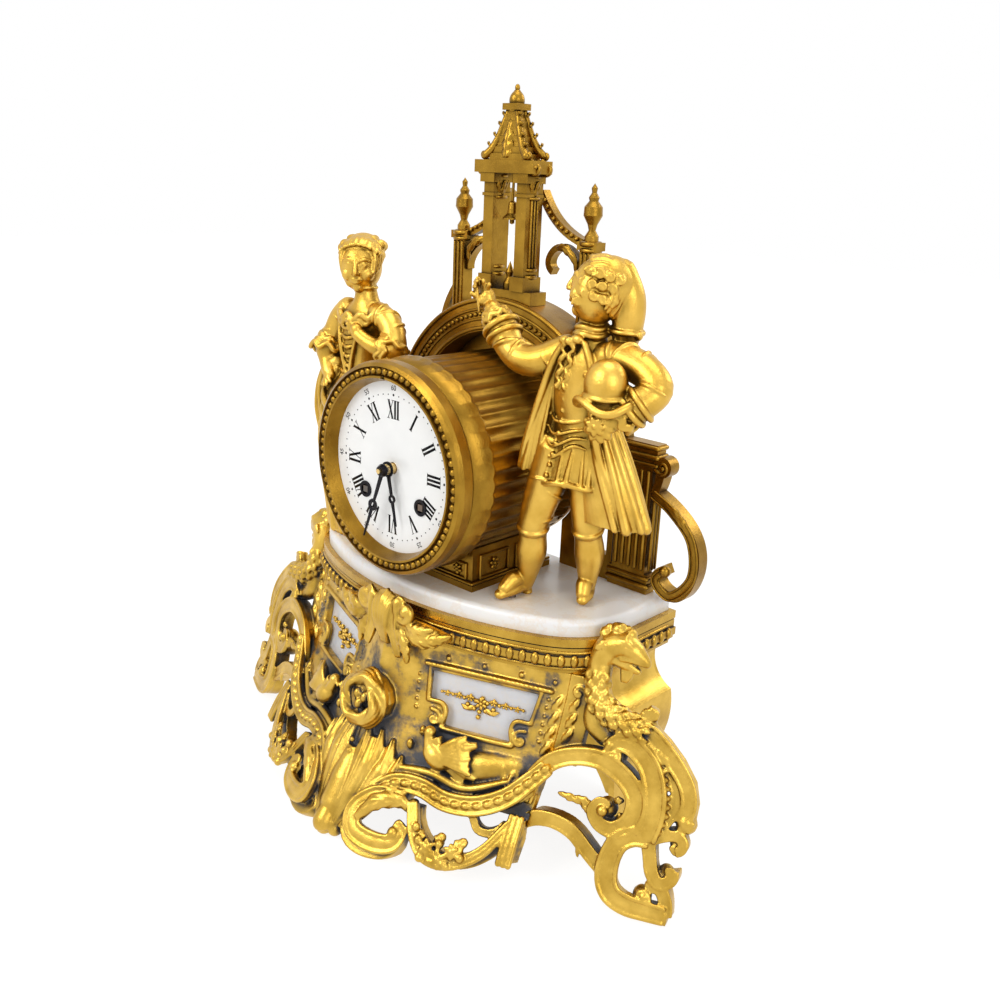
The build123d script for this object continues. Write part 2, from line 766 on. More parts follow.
# Enamel dial with its holes and three feet on the front plate
hour_pipe_radius = 2.6
dial_hole = hour_pipe_radius + free_gap
dial_back = dial_y + dial_thickness
front_plate_back = front_plate_y + plate_thickness
back_plate_y = front_plate_back + plate_space
back_plate_back = back_plate_y + plate_thickness
winding_places = [(-winding_x, axis_z + winding_z), (winding_x, axis_z + winding_z)]
dial_foot_ring = dial_radius - 7
with BuildPart() as dial:
    with BuildSketch(Plane.XZ.offset(-dial_back)):
        with Locations((0, axis_z)):
            Circle(dial_radius)
            Circle(dial_hole, mode=Mode.SUBTRACT)
        with Locations(*winding_places):
            Circle(winding_hole, mode=Mode.SUBTRACT)
        with Locations((0, axis_z + regulator_z)):
            Circle(arbor_radius + 2 * free_gap, mode=Mode.SUBTRACT)
    extrude(amount=dial_thickness)
    with BuildSketch(Plane.XZ.offset(-dial_back)):
        with Locations((0, axis_z)):
            with PolarLocations(dial_foot_ring, 3, start_angle=30):
                Circle(1.0)
    extrude(amount=-(front_plate_y - dial_back))
finish(dial.part, "dial")

with BuildPart() as collets:
    with BuildSketch(Plane.XZ.offset(-dial_back)):
        with Locations(*winding_places):
            Circle(winding_hole - seat_gap)
            Circle(winding_hole - collet_wall - seat_gap, mode=Mode.SUBTRACT)
    extrude(amount=dial_thickness + 0.6)
    with BuildSketch(Plane.XZ.offset(-dial_y)):
        with Locations(*winding_places):
            Circle(winding_hole + collet_wall)
            Circle(winding_hole - collet_wall - seat_gap, mode=Mode.SUBTRACT)
    extrude(amount=0.6)
finish(collets.part, "winding_collets")

# Gear teeth: involute flanks with backlash, on a plane across the drum's axis
pressure = radians(20)
backlash = 0.08


def gear_face(teeth, module, phase):
    """Face of a gear, with the middle of one tooth at an angle in radians."""
    pitch = teeth * module / 2
    base = pitch * cos(pressure)

    def roll(radius):
        angle = acos(min(1.0, base / radius))
        return tan(angle) - angle

    half = pi / (2 * teeth) - backlash / pitch + roll(pitch)
    steps = [(pitch - 1.2 * module, half), (pitch, half - roll(pitch)),
             (pitch + 0.8 * module, half - roll(pitch + 0.8 * module))]
    flank = [(radius, -angle) for radius, angle in steps] + [(radius, angle) for radius,
                                                             angle in reversed(steps)]
    outline = []
    for tooth in range(teeth):
        middle = phase + 2 * pi * tooth / teeth
        outline += [(radius * cos(middle + angle), radius * sin(middle + angle)) for radius, angle in flank]
    with BuildSketch() as wheel:
        Polygon(*outline, align=None)
    return wheel.sketch


def meshed(phase, teeth, heading, other_teeth):
    """Phase of a gear that meshes with another, seen along the heading to it."""
    return heading + pi + pi / other_teeth - (phase - heading) * teeth / other_teeth


def gear(face, place, y_front, thickness, bore):
    """Gear with a bore, whose front lies at y_front."""
    with BuildPart() as wheel:
        with BuildSketch(Plane.XZ.offset(-y_front - thickness)):
            with Locations(place):
                add(face)
                if bore:
                    Circle(bore, mode=Mode.SUBTRACT)
        extrude(amount=thickness)
    return wheel.part


def shaft(place, y_front, y_back, radius, bore=0):
    """Round shaft or pipe along the drum's axis."""
    with BuildPart() as rod:
        with BuildSketch(Plane.XZ.offset(-y_back)):
            with Locations(place):
                Circle(radius)
                if bore:
                    Circle(bore, mode=Mode.SUBTRACT)
        extrude(amount=y_back - y_front)
    return rod.part


# Motion work between the front plate and the dial
centre = (0, axis_z)
motion_distance = motion_module * (cannon_teeth + minute_wheel_teeth) / 2
hour_module = 2 * motion_distance / (hour_pinion_teeth + hour_wheel_teeth)
minute_wheel_place = (0, axis_z + motion_distance)
cannon_pipe = arbor_radius + running_fit + 0.7
minute_wheel_front = front_plate_y - 2.8
hour_wheel_front = minute_wheel_front - 2.8
hand_step = 3.0
hour_hand_y = dial_y - hand_step
minute_hand_y = hour_hand_y - hand_step
wheel_thickness = 1.4
pinion_length = 2.2

cannon_gear = gear_face(cannon_teeth, motion_module, pi / 2)
minute_gear = gear_face(minute_wheel_teeth, motion_module, meshed(pi / 2, cannon_teeth, pi / 2,
                                                                  minute_wheel_teeth))
minute_pinion = gear_face(hour_pinion_teeth, hour_module, -pi / 2)
hour_gear = gear_face(hour_wheel_teeth, hour_module, meshed(-pi / 2, hour_pinion_teeth, -pi / 2,
                                                            hour_wheel_teeth))

cannon_bore = arbor_radius + running_fit
with BuildPart() as cannon:
    add(gear(cannon_gear, centre, minute_wheel_front - 0.3, pinion_length, cannon_bore))
    add(shaft(centre, minute_hand_y - hand_thickness, minute_wheel_front, cannon_pipe, cannon_bore))
finish(cannon.part, "cannon_pinion")

post_radius = 1.0
with BuildPart() as minute_wheel:
    add(gear(minute_gear, minute_wheel_place, minute_wheel_front, wheel_thickness, post_radius + running_fit))
    add(gear(minute_pinion, minute_wheel_place, hour_wheel_front - 0.4,
             minute_wheel_front - hour_wheel_front + 0.4,
             post_radius + running_fit))
finish(minute_wheel.part, "minute_wheel")

hour_bore = cannon_pipe + running_fit
with BuildPart() as hour_wheel:
    add(gear(hour_gear, centre, hour_wheel_front, wheel_thickness, hour_bore))
    add(shaft(centre, hour_hand_y - hand_thickness, hour_wheel_front + wheel_thickness, hour_pipe_radius,
              hour_bore))
finish(hour_wheel.part, "hour_wheel")


def hand(length, angle, y_back, boss, bore):
    """Pierced hand that points at a clock angle, with a ring in its blade and an open boss."""
    ring_at = length * 0.52
    ring_radius = length * 0.075
    with BuildPart() as blade:
        with BuildSketch(Plane.XZ.offset(-y_back)):
            with Locations(Location((0, axis_z, 0), (0, 0, -angle))):
                Circle(boss)
                Polygon((-1.1, 0), (1.1, 0), (0.6, ring_at), (-0.6, ring_at), align=None)
                Polygon((-0.9, ring_at), (0.9, ring_at), (0.25, length), (-0.25, length), align=None)
                with Locations((0, ring_at)):
                    Circle(ring_radius)
                    Circle(ring_radius * 0.5, mode=Mode.SUBTRACT)
                Circle(bore, mode=Mode.SUBTRACT)
        extrude(amount=hand_thickness)
    return blade.part


hand_turn = 6.0 * hand_minutes
hour_turn = 30.0 * (hand_hour + hand_minutes / 60)
finish(hand(hour_length, hour_turn, hour_hand_y, hour_pipe_radius + 1.2, hour_pipe_radius + running_fit),
       "hour_hand")
finish(hand(minute_length, hand_turn, minute_hand_y, cannon_pipe + 1.2, cannon_pipe + running_fit),
       "minute_hand")

collet_depth = 1.6
with BuildPart() as hand_collet:
    add(turned([(cannon_bore, minute_hand_y - hand_thickness),
                (cannon_pipe + 1, minute_hand_y - hand_thickness),
                (cannon_pipe + 0.4, minute_hand_y - hand_thickness - collet_depth),
                (cannon_bore, minute_hand_y - hand_thickness - collet_depth)]))
finish(hand_collet.part, "hand_collet")

# Movement plates, pillars and the post of the minute wheel
pillar_ring = plate_radius - 4
pillar_radius = 2.2
pillar_angles = (-90, 20, 60, 120, 160)
train_angle = radians(130)
centre_wheel_radius = train_module * centre_wheel_teeth / 2
third_pinion_radius = train_module * third_pinion_teeth / 2
third_distance = centre_wheel_radius + third_pinion_radius
third_place = (third_distance * cos(train_angle), axis_z + third_distance * sin(train_angle))
escape_distance = train_module * (third_wheel_teeth + escape_pinion_teeth) / 2
escape_z = third_place[1] + sqrt(escape_distance ** 2 - third_place[0] ** 2)
escape_place = (0, escape_z)
pallet_place = (0, escape_z + pallet_height)
hammer_place = (-41.0, axis_z - 1.0)
count_place = (-14.0, axis_z - 30.0)
regulator_place = (0, axis_z + regulator_z)
bell_post_place = (28.0, axis_z - 24.0)
arbor_places = [centre, third_place, escape_place, pallet_place, hammer_place] + winding_places


def plate(y_front, bores):
    """Movement plate with its arbor holes, each a place and a radius."""
    with BuildPart() as disc:
        with BuildSketch(Plane.XZ.offset(-y_front - plate_thickness)):
            with Locations(centre):
                Circle(plate_radius)
            for place, radius in bores:
                with Locations(place):
                    Circle(radius, mode=Mode.SUBTRACT)
        extrude(amount=plate_thickness)
    return disc.part


winding_arbor = 2.4
pivot = arbor_radius + running_fit
arbor_bores = [(place, pivot) for place in arbor_places[:5]]
winding_bores = [(place, winding_arbor + running_fit) for place in winding_places]
regulator_bore = [(regulator_place, pivot)]
with BuildPart() as front_plate:
    add(plate(front_plate_y, arbor_bores + winding_bores + regulator_bore))
    add(shaft(minute_wheel_place, hour_wheel_front - 0.4, front_plate_y, post_radius))
finish(front_plate.part, "front_plate")
finish(plate(back_plate_y, arbor_bores + winding_bores + regulator_bore + [(count_place, pivot)]),
       "back_plate")

with BuildPart() as pillars:
    with BuildSketch(Plane.XZ.offset(-back_plate_y)):
        for pillar_angle in pillar_angles:
            with Locations(centre):
                with PolarLocations(pillar_ring, 1, start_angle=pillar_angle):
                    Circle(pillar_radius)
    extrude(amount=plate_space)
finish(pillars.part, "plate_pillars")

# Going train: centre wheel, third wheel and escape wheel
barrel_wheel_y = 3.0
centre_wheel_y = 8.0
third_wheel_y = 12.0
escape_wheel_y = back_plate_y - 2.4
barrel_module = 2 * sqrt(winding_x ** 2 + winding_z ** 2) / (barrel_teeth + centre_pinion_teeth)
going_heading = atan2(winding_z, winding_x)
centre_pinion_phase = going_heading
barrel_phase = meshed(centre_pinion_phase, centre_pinion_teeth, going_heading, barrel_teeth)
centre_wheel_phase = train_angle
third_pinion_phase = meshed(centre_wheel_phase, centre_wheel_teeth, train_angle, third_pinion_teeth)
escape_heading = atan2(escape_place[1] - third_place[1], -third_place[0])
escape_pinion_phase = meshed(escape_heading, third_wheel_teeth, escape_heading, escape_pinion_teeth)

with BuildPart() as centre_wheel:
    add(shaft(centre, minute_hand_y - hand_thickness - collet_depth - 1, back_plate_back, arbor_radius))
    add(gear(gear_face(centre_pinion_teeth, barrel_module, centre_pinion_phase), centre,
             barrel_wheel_y - 0.5, 3.0, 0))
    add(gear(gear_face(centre_wheel_teeth, train_module, centre_wheel_phase), centre, centre_wheel_y,
             wheel_thickness, 0))
finish(centre_wheel.part, "centre_wheel")

with BuildPart() as third_wheel:
    add(shaft(third_place, front_plate_y, back_plate_back, arbor_radius))
    add(gear(gear_face(third_pinion_teeth, train_module, third_pinion_phase), third_place,
             centre_wheel_y - 0.4, 2.2, 0))
    add(gear(gear_face(third_wheel_teeth, train_module, escape_heading), third_place, third_wheel_y,
             wheel_thickness, 0))
finish(third_wheel.part, "third_wheel")

escape_root = escape_radius * 0.78
with BuildPart() as escape_wheel:
    add(shaft(escape_place, front_plate_y, back_plate_back, arbor_radius))
    add(gear(gear_face(escape_pinion_teeth, train_module, escape_pinion_phase), escape_place,
             third_wheel_y - 0.4, 2.2, 0))
    with BuildSketch(Plane.XZ.offset(-escape_wheel_y - wheel_thickness)):
        with Locations(escape_place):
            Circle(escape_root)
            with PolarLocations(escape_root, escape_teeth):
                Polygon((-0.4, -0.6), (escape_radius - escape_root, 0.1), (-0.4, 0.5), align=None)
    extrude(amount=wheel_thickness)
finish(escape_wheel.part, "escape_wheel")

# Barrels with their springs enclosed, and the winding arbors with square ends
barrel_radius = 16.0
barrel_front = front_plate_back + 2.0
square = 3.2


def barrel(place, phase, wheel_y):
    """Spring barrel: a closed drum with a toothed rim, bored for its arbor."""
    with BuildPart() as drum_box:
        add(shaft(place, barrel_front, barrel_wheel_y, barrel_radius, winding_arbor + running_fit))
        add(gear(gear_face(barrel_teeth, barrel_module, phase), place, wheel_y, 2.0,
                 winding_arbor + running_fit))
    return drum_box.part


def winding(place):
    """Winding arbor: round in its bearings, with a square end behind the dial hole."""
    with BuildPart() as arbor:
        add(shaft(place, dial_back + free_gap, back_plate_back, winding_arbor))
        with BuildSketch(Plane.XZ.offset(-dial_back - free_gap)):
            with Locations(place):
                Rectangle(square, square)
        extrude(amount=dial_thickness + 2 * free_gap)
    return arbor.part


strike_place, going_place = winding_places
finish(barrel(going_place, barrel_phase, barrel_wheel_y), "going_barrel")
finish(barrel(strike_place, pi - barrel_phase, barrel_wheel_y - 4.0), "strike_barrel")
finish(winding(going_place), "going_arbor")
finish(winding(strike_place), "strike_arbor")

# Anchor, crutch and pallet arbor, clear of the wheel at the middle of the swing
anchor_inner = escape_radius + anchor_clearance
anchor_width = 2.0
crutch_y = back_plate_back + 1.0
crutch_length = 26.0
with BuildPart() as pallets:
    add(shaft(pallet_place, front_plate_y, crutch_y + wheel_thickness, arbor_radius))
    with BuildSketch(Plane.XZ.offset(-escape_wheel_y - wheel_thickness)):
        with Locations(escape_place):
            Circle(anchor_inner + anchor_width)
            Circle(anchor_inner, mode=Mode.SUBTRACT)
        with Locations((0, escape_z - escape_radius)):
            Rectangle(6 * escape_radius, 3 * escape_radius, mode=Mode.SUBTRACT)
        with Locations((0, (pallet_place[1] + escape_z + anchor_inner + anchor_width / 2) / 2)):
            Rectangle(2 * arbor_radius, pallet_height - anchor_inner - anchor_width / 2)
    extrude(amount=wheel_thickness)
    with BuildSketch(Plane.XZ.offset(-crutch_y - wheel_thickness)):
        with Locations((0, pallet_place[1] - crutch_length / 2)):
            Rectangle(2.0, crutch_length + 2)
    extrude(amount=wheel_thickness)
    add(shaft((0, pallet_place[1] - crutch_length), crutch_y, pendulum_y - 1.2, 0.8))
finish(pallets.part, "pallets")

# Back cock, pendulum and regulator
rod_radius = 1.0
cock_half = 6.0
cock_foot = pallet_place[1] + 3.5
with BuildPart() as cock:
    with BuildSketch(Plane.XZ.offset(-pendulum_y - 3.0)):
        with Locations((0, (cock_foot + axis_z + plate_radius) / 2)):
            Rectangle(2 * cock_half, axis_z + plate_radius - cock_foot)
        with Locations(regulator_place):
            Circle(pivot, mode=Mode.SUBTRACT)
    extrude(amount=pendulum_y + 3.0 - back_plate_back)
finish(cock.part, "back_cock")

bob_z = pallet_place[1] - pendulum_length
with BuildPart() as pendulum_rod:
    with BuildSketch(Plane.XY.offset(bob_z - bob_radius - 4.0)):
        with Locations((0, pendulum_y)):
            Circle(rod_radius)
    extrude(amount=cock_foot - free_gap - bob_z + bob_radius + 4.0)
finish(pendulum_rod.part, "pendulum_rod")

with BuildPart() as bob:
    with BuildSketch(Plane.XZ.offset(-pendulum_y - bob_thickness / 2)):
        with Locations((0, bob_z)):
            Circle(bob_radius)
    extrude(amount=bob_thickness)
    chamfer(bob.edges().filter_by(GeomType.CIRCLE), length=bob_thickness * 0.3)
    with BuildSketch(Plane.XY.offset(bob_z - bob_radius)):
        with Locations((0, pendulum_y)):
            Circle(rod_radius + running_fit)
    extrude(amount=2 * bob_radius, mode=Mode.SUBTRACT)
finish(bob.part, "pendulum_bob")

with BuildPart() as rating_nut:
    with BuildSketch(Plane.XY.offset(bob_z - bob_radius - 3.0)):
        with Locations((0, pendulum_y)):
            Circle(3.0)
            Circle(rod_radius + running_fit, mode=Mode.SUBTRACT)
    extrude(amount=2.6)
finish(rating_nut.part, "rating_nut")

with BuildPart() as regulator:
    add(shaft(regulator_place, dial_y - 2.0, pendulum_y + 2.0, arbor_radius))
    with BuildSketch(Plane.XZ.offset(-dial_y + 2.0)):
        with Locations(regulator_place):
            Rectangle(1.6, 1.6)
    extrude(amount=2.5)
finish(regulator.part, "regulator_arbor")

# Strike: bell on its post, hammer and count wheel
bell_back = bell_front + bell_depth
bell_sphere = (bell_radius ** 2 + bell_depth ** 2) / (2 * bell_depth)
with BuildPart() as strike_bell:
    with BuildSketch(Plane.XY.offset(axis_z)):
        with Locations((0, bell_back - bell_sphere)):
            Circle(bell_sphere)
            Circle(bell_sphere - bell_wall, mode=Mode.SUBTRACT)
        with Locations((0, bell_front - 2 * bell_sphere)):
            Rectangle(4 * bell_sphere, 4 * bell_sphere, mode=Mode.SUBTRACT)
        with Locations((post_radius + running_fit - 2 * bell_sphere, 0)):
            Rectangle(4 * bell_sphere, 8 * bell_sphere, mode=Mode.SUBTRACT)
    revolve(axis=Axis((0, 0, axis_z), (0, 1, 0)))
finish(strike_bell.part, "strike_bell")

post_arm = 3.0
with BuildPart() as bell_post:
    add(shaft(bell_post_place, back_plate_back, bell_back + post_arm, post_arm / 2))
    with BuildSketch(Plane.XZ.offset(-bell_back - post_arm)):
        with BuildLine():
            Line(bell_post_place, centre)
        trace(line_width=post_arm)
    extrude(amount=post_arm)
    add(shaft(centre, bell_back - bell_wall - 2, bell_back + post_arm, post_radius))
finish(bell_post.part, "bell_post")

hammer_reach = bell_radius + 3.4
hammer_angle = radians(205)
hammer_head = (hammer_reach * cos(hammer_angle), axis_z + hammer_reach * sin(hammer_angle))
with BuildPart() as hammer:
    add(shaft(hammer_place, front_plate_y, bell_front + 3.0, arbor_radius))
    with BuildSketch(Plane.XZ.offset(-bell_front - 3.0)):
        with BuildLine():
            Line(hammer_place, hammer_head)
        trace(line_width=2.0)
        with Locations(hammer_head):
            Circle(2.6)
    extrude(amount=2.4)
finish(hammer.part, "strike_hammer")

count_radius = 11.0
with BuildPart() as count_wheel:
    with BuildSketch(Plane.XZ.offset(-back_plate_back - 0.4 - wheel_thickness)):
        with Locations(count_place):
            Circle(count_radius)
            with PolarLocations(count_radius, 11):
                Rectangle(2.4, 1.2, mode=Mode.SUBTRACT)
    extrude(amount=wheel_thickness)
    add(shaft(count_place, back_plate_y, back_plate_back + 0.4, arbor_radius))
finish(count_wheel.part, "count_wheel")

# Straps that tie the front bezel to the rear bezel round the movement
strap_thickness = 1.2
strap_outer = drum_radius - drum_wall - seat_gap
strap_half = 6.0
with BuildPart() as straps:
    with BuildSketch(Plane.XZ.offset(-drum_back)):
        with Locations(centre):
            Circle(strap_outer)
            Circle(strap_outer - strap_thickness, mode=Mode.SUBTRACT)
        with Locations((0, axis_z + strap_half + drum_radius), (0, axis_z - strap_half - drum_radius)):
            Rectangle(3 * drum_radius, 2 * drum_radius, mode=Mode.SUBTRACT)
    extrude(amount=drum_back - drum_front)
finish(straps.part, "bezel_straps")

# Rear bezel with two hinge knuckles, the door and its pin
rear_bezel_back = drum_back + rear_bezel_depth
door_back = rear_bezel_back + door_thickness
hinge_y = door_back + 0.5


def knuckle(low, high):
    """Hinge knuckle between two heights, bored for the pin."""
    with BuildPart() as eye:
        with BuildSketch(Plane.XY.offset(low)):
            with Locations((hinge_x, hinge_y)):
                Circle(hinge_radius)
                Circle(hinge_pin_radius + running_fit, mode=Mode.SUBTRACT)
        extrude(amount=high - low)
    return eye.part


knuckle_break = door_knuckle_half + free_gap
with BuildPart() as rear_bezel:
    add(turned([(rear_bezel_inner, drum_back), (drum_radius - seat_gap, drum_back),
                (drum_radius - seat_gap, rear_bezel_back), (rear_bezel_inner, rear_bezel_back)]))
    with BuildSketch(Plane.XY.offset(axis_z - hinge_half)):
        with Locations((hinge_x, (rear_bezel_back + hinge_y) / 2)):
            Rectangle(2 * hinge_radius, hinge_y - rear_bezel_back)
    extrude(amount=2 * hinge_half)
    with BuildSketch(Plane.XY.offset(axis_z - knuckle_break)):
        with Locations((hinge_x, hinge_y)):
            Rectangle(4 * hinge_radius, 2 * (hinge_y - rear_bezel_back))
    extrude(amount=2 * knuckle_break, mode=Mode.SUBTRACT)
    add([knuckle(axis_z - hinge_half, axis_z - knuckle_break),
         knuckle(axis_z + knuckle_break, axis_z + hinge_half)])
    with BuildSketch(Plane.XY.offset(axis_z - hinge_half)):
        with Locations((hinge_x, hinge_y)):
            Circle(hinge_pin_radius + running_fit)
    extrude(amount=2 * hinge_half, mode=Mode.SUBTRACT)
finish(rear_bezel.part, "rear_bezel")

door_front = rear_bezel_back + seat_gap
knob_x = door_radius - 8
knob_steps = [(0, -1), (1.6, -1), (1.6, 1.6), (2.8, 2.6), (2.2, 4.4), (0, 5)]
with BuildPart() as door:
    add(turned([(0, door_front), (door_radius - 2, door_front), (door_radius - 2, door_back - 0.4),
                (0, door_back - 0.4)]))
    add(turned([(door_radius - 5, door_front), (door_radius, door_front), (door_radius, door_back),
                (door_radius - 5, door_back)]))
    with BuildSketch(Plane.XY.offset(axis_z - hinge_half - free_gap)):
        with Locations((hinge_x, (door_front + door_back) / 2)):
            Rectangle(2 * (hinge_radius + free_gap) + 2.4, 4 * door_thickness)
    extrude(amount=2 * (hinge_half + free_gap), mode=Mode.SUBTRACT)
    with BuildSketch(Plane.XY.offset(axis_z - door_knuckle_half)):
        with BuildLine():
            Polyline((hinge_x, hinge_y), (hinge_x + 2, hinge_y + hinge_radius - 0.6),
                     (hinge_x + 6, door_back),
                     (hinge_x + 6, door_front + 0.5), (hinge_x + 2, hinge_y - 1), close=True)
        make_face()
    extrude(amount=2 * door_knuckle_half)
    add(knuckle(axis_z - door_knuckle_half, axis_z + door_knuckle_half))
    with BuildSketch(Plane.XY.offset(axis_z - door_knuckle_half)):
        with Locations((hinge_x, hinge_y)):
            Circle(hinge_pin_radius + running_fit)
    extrude(amount=2 * door_knuckle_half, mode=Mode.SUBTRACT)
    with BuildSketch(Plane.XY.offset(axis_z)):
        with BuildLine():
            Polyline(*[(knob_x + radius, door_back + reach) for radius, reach in knob_steps], close=True)
        make_face()
    revolve(axis=Axis((knob_x, 0, axis_z), (0, 1, 0)))
finish(door.part, "rear_door")

with BuildPart() as hinge_pin:
    with BuildSketch(Plane.XY.offset(axis_z - hinge_half)):
        with Locations((hinge_x, hinge_y)):
            Circle(hinge_pin_radius)
    extrude(amount=2 * hinge_half)
finish(hinge_pin.part, "hinge_pin")

# Arched screen: ring round the drum, pilasters, urn columns, rails and scroll arches
rail_points = [(tower_pier_x, tower_eaves - 8), (tower_pier_x + 11, urn_cap_z + 8),
               (urn_x - urn_column / 2, urn_cap_z - 1)]
cusp_points = [(tower_plinth_half + 1.3, crown_z + 14), (18, crown_z + 19), (24, crown_z + 26),
               (33, crown_z + 23),
               (urn_x - 4, crown_z + 10)]
lyre_points = [(urn_x + 3, crown_z + 2), (54, crown_z - 10), (56, crown_z - 22), (50, crown_z - 32),
               (45, crown_z - 28)]
window_x = (pilaster_inner + drum_radius + 4) / 2
with BuildPart() as screen:
    with BuildSketch(Plane.XZ.offset(-screen_back)):
        with Locations(centre):
            Circle(hood_radius)
        with Locations((0, (slab_top + axis_z) / 2)):
            Rectangle(2 * pilaster_inner, axis_z - slab_top)
        with Locations(centre):
            Circle(drum_radius + free_gap, mode=Mode.SUBTRACT)
        with Locations((0, slab_top)):
            Rectangle(2 * (plinth_half_width + plinth_foot), drum_radius, mode=Mode.SUBTRACT)
        with Locations(*both_sides([(window_x, slab_top + 26)])):
            Rectangle(9, 26, mode=Mode.SUBTRACT)
        for side_sign in (-1, 1):
            for points, width in ((rail_points, rail_width), (cusp_points, 3.4), (lyre_points, 3.4)):
                add(ribbon([(side_sign * x, z) for x, z in points], width))
    extrude(amount=screen_wall)
    column_foot = axis_z + sqrt(hood_radius ** 2 - urn_x ** 2) - urn_column
    with BuildSketch(Plane.XZ.offset(-screen_back)):
        with Locations(*both_sides([(urn_x, (column_foot + urn_cap_z) / 2)])):
            Rectangle(urn_column, urn_cap_z - column_foot)
        with Locations(*both_sides([(urn_x, urn_cap_z - 2)])):
            Rectangle(urn_column + 4, 4)
        with Locations(*both_sides([((pilaster_inner + pilaster_outer) / 2, (slab_top + pilaster_top) / 2)])):
            Rectangle(pilaster_outer - pilaster_inner - 2 * pilaster_step, pilaster_top - slab_top)
        for level in (slab_top + 5, pilaster_top - 2.5):
            with Locations(*both_sides([((pilaster_inner + pilaster_outer) / 2, level)])):
                Rectangle(pilaster_outer - pilaster_inner, 10 if level < axis_z else 5)
    extrude(amount=screen_back - screen_front)
    with BuildSketch(Plane.XZ.offset(-screen_back)):
        with Locations(centre):
            Circle(hood_radius)
            Circle(hood_inner, mode=Mode.SUBTRACT)
        with Locations((0, axis_z + hood_foot - hood_radius)):
            Rectangle(3 * hood_radius, 2 * hood_radius, mode=Mode.SUBTRACT)
    extrude(amount=screen_back - hood_front)
    with BuildSketch(Plane.XY.offset(slab_top)):
        Rectangle(4 * hood_radius, 4 * hood_radius)
    extrude(amount=-hood_radius, mode=Mode.SUBTRACT)
    with BuildSketch(Plane.XY.offset(slab_top)):
        with Locations(*screen_screws):
            Circle(screw_radius + running_fit)
    extrude(amount=figure_screw_depth, mode=Mode.SUBTRACT)
finish(screen.part, "arched_screen")

# Bell tower: plinth on the crown of the arch, two piers with bases and capitals, eaves
tower_front = hood_front + 1.5
tower_back = screen_front
tower_middle = (tower_front + tower_back) / 2
tower_deep = tower_back - tower_front
eaves_top = tower_eaves + eaves_height
plinth_drop = hood_radius - sqrt(hood_radius ** 2 - tower_plinth_half ** 2)
pier_steps = [
    (tower_pier, tower_foot, tower_eaves, 0.0),
    (tower_pier + 2.4, tower_foot, tower_foot + 7, 1.2),
    (tower_pier + 1.2, tower_eaves - 11, tower_eaves - 9.5, 0.6),
    (tower_pier + 3.0, tower_eaves - 4.5, tower_eaves, 1.5),
]
with BuildPart() as tower:
    with BuildSketch(Plane.XY.offset(crown_z - plinth_drop - 1)):
        with Locations((0, tower_middle)):
            Rectangle(2 * tower_plinth_half, tower_deep)
    extrude(amount=tower_foot - crown_z + plinth_drop + 1)
    with BuildSketch(Plane.XZ.offset(-screen_back)):
        with Locations(centre):
            Circle(hood_radius + seat_gap)
    extrude(amount=screen_back, mode=Mode.SUBTRACT)
    for width, low, high, proud in pier_steps:
        with BuildSketch(Plane.XY.offset(low)):
            with Locations(*both_sides([(tower_pier_x, tower_middle - proud / 2)])):
                Rectangle(width, tower_deep + proud)
        extrude(amount=high - low)
    with BuildSketch(Plane.XY.offset(tower_eaves)):
        with Locations((0, tower_middle - 1)):
            Rectangle(2 * eaves_half, tower_deep + 2)
    extrude(amount=eaves_height)
    with BuildSketch(Plane.XZ.offset(-tower_middle)):
        with BuildLine():
            Polyline((0, tower_foot), (3.2, tower_foot), (3.2, tower_foot + 3), (1.6, tower_foot + 6),
                     (2.2, tower_foot + 8.5), (0, tower_foot + 14), close=True)
        make_face()
    revolve(axis=Axis((0, tower_middle, 0), (0, 0, 1)))
finish(tower.part, "bell_tower")

# Spire: hollow-sided roof, a square cap and a knop
roof_levels = [(0, 1.0), (0.14, 0.78), (0.35, 0.52), (0.65, 0.3), (1, 0)]
with BuildPart() as spire:
    roof_rings = []
    for share, spread in roof_levels:
        with BuildSketch(Plane(origin=(0, tower_middle, eaves_top + share * roof_height))) as roof_ring:
            Rectangle(2 * (roof_neck + (roof_half - roof_neck) * spread),
                      2 * (roof_neck + (roof_half_depth - roof_neck) * spread))
        roof_rings.append(roof_ring.sketch)
    loft(sections=roof_rings, ruled=True)
    neck_z = eaves_top + roof_height
    with BuildSketch(Plane.XY.offset(neck_z)):
        with Locations((0, tower_middle)):
            Rectangle(2 * roof_neck + 2.6, 2 * roof_neck + 2.6)
    extrude(amount=knop_height * 0.25)
    with BuildSketch(Plane.XZ.offset(-tower_middle)):
        with BuildLine():
            low_z = neck_z + knop_height * 0.25
            Line((0, low_z), (roof_neck, low_z))
            ThreePointArc((roof_neck, low_z), (roof_neck * 0.85, low_z + 4), (1.0, low_z + 6))
            Polyline((1.0, low_z + 6), (1.3, low_z + 7.2), (0, neck_z + knop_height), (0, low_z))
        make_face()
    revolve(axis=Axis((0, tower_middle, 0), (0, 0, 1)))
finish(spire.part, "tower_spire")

# Bell hung in the tower on its own stalk
bell_hang = tower_eaves
bell_mouth = tower_eaves - tower_bell_drop
stalk = 0.7
bell_profile = [
    (0, bell_hang), (stalk, bell_hang), (stalk, bell_mouth + tower_bell_height),
                (2.0, bell_mouth + tower_bell_height - 0.8),
    (2.6, bell_mouth + 3), (tower_bell_radius, bell_mouth + 0.8), (tower_bell_radius, bell_mouth),
                (1.2, bell_mouth),
    (1.2, bell_mouth - 1.8), (0, bell_mouth - 2.4),
]
with BuildPart() as tower_bell:
    with BuildSketch(Plane.XZ.offset(-tower_middle)):
        with BuildLine():
            Polyline(*bell_profile, close=True)
        make_face()
    revolve(axis=Axis((0, tower_middle, 0), (0, 0, 1)))
finish(tower_bell.part, "tower_bell")

